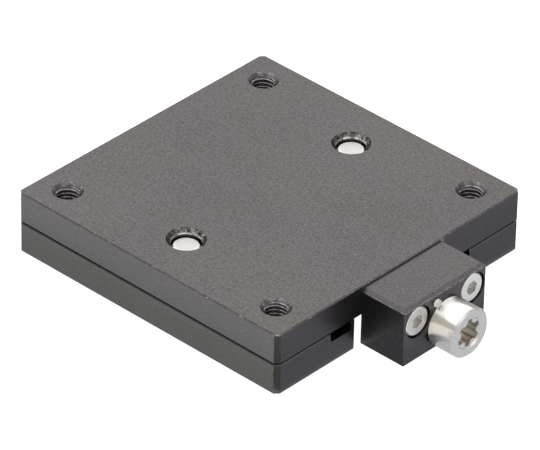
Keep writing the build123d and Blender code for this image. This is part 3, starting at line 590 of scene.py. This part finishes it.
def card(name, corners, colour, strength):
    """A studio card that only shows in reflections."""
    mesh = bpy.data.meshes.new(name)
    mesh.from_pydata([[c * MM for c in p] for p in corners], [], [(0, 1, 2, 3)])
    o = bpy.data.objects.new(name, mesh)
    scene.collection.objects.link(o)
    m = bpy.data.materials.new(name)
    m.use_nodes = True
    m.node_tree.nodes.clear()
    e = m.node_tree.nodes.new("ShaderNodeEmission")
    e.inputs[0].default_value = (*colour, 1)
    e.inputs[1].default_value = strength
    out = m.node_tree.nodes.new("ShaderNodeOutputMaterial")
    m.node_tree.links.new(e.outputs[0], out.inputs[0])
    mesh.materials.append(m)
    o.visible_camera = False
    o.visible_diffuse = False
    o.visible_shadow = False
    o.visible_transmission = False
    o.visible_volume_scatter = False
    return o


floor()
# the four cards are darker than the floor and show only in reflections: they stand in for the floor's shade beside the
# plates and the block (painted shade), left_card for the contact shadow along the left face
card("near_card", [(20.3, -60, 0.01), (29.5, -60, 0.01), (29.5, 60, 0.01), (20.3, 60, 0.01)], (0.96, 0.98, 1.06), 0.56)
card("side_card", [(29.5, -60, 0.01), (90, -60, 0.01), (90, 60, 0.01), (29.5, 60, 0.01)], (0.98, 0.99, 1.02), 0.85)
card("left_card", [(-60, -24.6, 0.01), (20.2, -24.6, 0.01), (20.2, -20.1, 0.01), (-60, -20.1, 0.01)], (1.0, 1.0, 0.985), 1.02)
card("corner_card", [(20.4, -29, 0.02), (29, -29, 0.02), (29, -20.4, 0.02), (20.4, -20.4, 0.02)], (0.96, 0.96, 1.0), 0.37)


def knob_card():
    """Bands of light round the screw's axis, as large as the block's front face and just in front of it, lit on the outer side only. The knob's rim picks them up. The card keeps its place before the block when the table moves."""
    s = Shade("knob_card")
    s.tree.nodes.remove(s.bsdf)
    x, y, z = s.split(s.pos)
    out, rise = s.math("SUBTRACT", AXIS_Y * MM, y), s.math("SUBTRACT", z, AXIS_Z * MM)
    r = s.math("SQRT", s.math("ADD", s.math("MULTIPLY", out, out), s.math("MULTIPLY", rise, rise)))
    at = s.math("MULTIPLY_ADD", s.math("ARCTAN2", rise, out), 0.5 / math.pi, 0.5)
    # painted reflection: light bands, and dark bands that stand in for the shaded floor and the block beside the knob
    band = s.ramp(at, [(a / 360 + 0.5, c) for a, c in (
        (-90, (0.48, 0.47, 0.475)),
        (-13, (0.48, 0.47, 0.475)),
        (-3, (1.0, 0.97, 0.89)),
        (20, (1.06, 1.03, 0.91)),
        (26, (0.49, 0.46, 0.39)),
        (43, (0.49, 0.46, 0.39)),
        (52, (1.33, 1.32, 1.25)),
        (100, (1.33, 1.31, 1.28)),
        (117, (0.76, 0.71, 0.68)),
        (128, (0.38, 0.34, 0.345)),
        (180, (0.38, 0.34, 0.345)),
    )])
    # painted shade in the reflection: the card is darker close to the screw's axis and in two sectors
    near = s.remap(r, 3.3 * MM, 4.4 * MM, 0.85, 1.0)
    near = s.lerp(s.remap(at, 0.478, 0.460), near, s.remap(r, 4.0 * MM, 7.4 * MM, 0.02, 1.0))
    near = s.lerp(s.remap(at, 0.800, 0.850), near, s.remap(r, 3.7 * MM, 5.2 * MM, 0.10, 1.0))
    light = s.tree.nodes.new("ShaderNodeEmission")
    s.put(light.inputs[0], s.tint(band, near))
    side = s.tree.nodes.new("ShaderNodeNewGeometry")
    mixed = s.tree.nodes.new("ShaderNodeMixShader")
    s.put(mixed.inputs[0], side.outputs["Backfacing"])
    s.tree.links.new(light.outputs[0], mixed.inputs[1])
    s.tree.links.new(s.tree.nodes.new("ShaderNodeBsdfTransparent").outputs[0], mixed.inputs[2])
    s.tree.links.new(mixed.outputs[0], s.out.inputs[0])
    o = card("knob_card", [(26.45, -7.35, 0.25), (26.45, 6.9, 0.25), (26.45, 6.9, 7.6), (26.45, -7.35, 7.6)], (1, 1, 1), 1.0)
    o.data.materials[0] = s.material
    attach(o, "table")


knob_card()


class Sky(Shade):
    """Node helpers on the world's tree."""

    def __init__(self, world):
        world.use_nodes = True
        self.tree = world.node_tree
        self.tree.nodes.clear()
        self.way = self.tree.nodes.new("ShaderNodeTexCoord").outputs["Generated"]

    def lamp(self, way, radius, edge, level):
        """Round soft lamp: level inside the radius, fading out over the edge, in degrees."""
        dot = self.vec("DOT_PRODUCT", self.way, tuple(Vector(way).normalized()), out=1)
        return self.remap(dot, math.cos(math.radians(radius + edge)), math.cos(math.radians(radius)), 0.0, level, smooth=True)


world = bpy.data.worlds.new("studio")
scene.world = world
sky = Sky(world)
wx, wy, wz = sky.split(sky.way)
turn = sky.math("DIVIDE", sky.math("ARCTAN2", wz, sky.math("MULTIPLY", wy, -1.0)), math.pi)
left_part = sky.ramp(turn, [
    (0.0, (0.60, 0.59, 0.54)),
    (0.095, (0.60, 0.59, 0.53)),
    (0.115, (0.27, 0.255, 0.215)),
    (0.225, (0.27, 0.255, 0.220)),
    (0.260, (0.92, 0.915, 0.905)),
    (0.350, (0.96, 0.955, 0.95)),
    (0.700, (0.93, 0.92, 0.915)),
    (1.0, (0.90, 0.895, 0.89)),
])
right_part = sky.ramp(turn, [
    (0.0, (0.70, 0.695, 0.68)),
    (0.2, (0.80, 0.795, 0.78)),
    (0.35, (0.96, 0.955, 0.95)),
    (1.0, (0.90, 0.895, 0.89)),
])
base = sky.mix(sky.remap(wx, -0.45, -0.25, smooth=True), left_part, right_part)
base = sky.tint(base, sky.remap(wx, -0.30, 0.45, 1.82, 0.95, smooth=True))
low = sky.math("MULTIPLY", sky.remap(wz, 0.32, 0.18, smooth=True), sky.remap(sky.math("SUBTRACT", wy, wx), 0.48, 0.78, smooth=True))
low = sky.math("MULTIPLY", low, sky.remap(wz, 0.004, 0.015))
base = sky.mix(low, base, (0.17, 0.17, 0.17))
lamps = sky.math("ADD", sky.lamp((0.613, -0.068, 0.786), 14, 16, 1.0), sky.lamp((-0.12, -0.66, 0.74), 11, 9, 1.2))
light = sky.vec("ADD", base, sky.join(lamps, sky.math("MULTIPLY", lamps, 0.985), sky.math("MULTIPLY", lamps, 0.97)))
w_bg = sky.tree.nodes.new("ShaderNodeBackground")
w_out = sky.tree.nodes.new("ShaderNodeOutputWorld")
sky.put(w_bg.inputs[0], light)
sky.tree.links.new(w_bg.outputs[0], w_out.inputs[0])

# ---------------------------------------------------------------------------
# Camera at the photo's place
# ---------------------------------------------------------------------------
az, el, roll = math.radians(-47.479), math.radians(34.417), math.radians(1.253)
d = Vector((math.cos(el) * math.cos(az), math.cos(el) * math.sin(az), math.sin(el)))
forward = -d
right = forward.cross(Vector((0, 0, 1))).normalized()
up = right.cross(forward)
r2 = math.cos(roll) * right + math.sin(roll) * up
u2 = -math.sin(roll) * right + math.cos(roll) * up
place = Vector((0, 0, 0.004)) + 0.65620 * d
cam = bpy.data.cameras.new("photo_camera")
cam.sensor_fit = "HORIZONTAL"
cam.sensor_width = 36
cam.lens = 388.72
cam.shift_x = 0.00144
cam.shift_y = -0.00993
cam.clip_start = 0.01
cam.clip_end = 50
cam_o = bpy.data.objects.new("photo_camera", cam)
scene.collection.objects.link(cam_o)
cam_o.matrix_world = Matrix((
    (r2.x, u2.x, -forward.x, place.x),
    (r2.y, u2.y, -forward.y, place.y),
    (r2.z, u2.z, -forward.z, place.z),
    (0, 0, 0, 1),
))
scene.camera = cam_o
scene.view_settings.view_transform = "Standard"
scene.view_settings.look = "None"
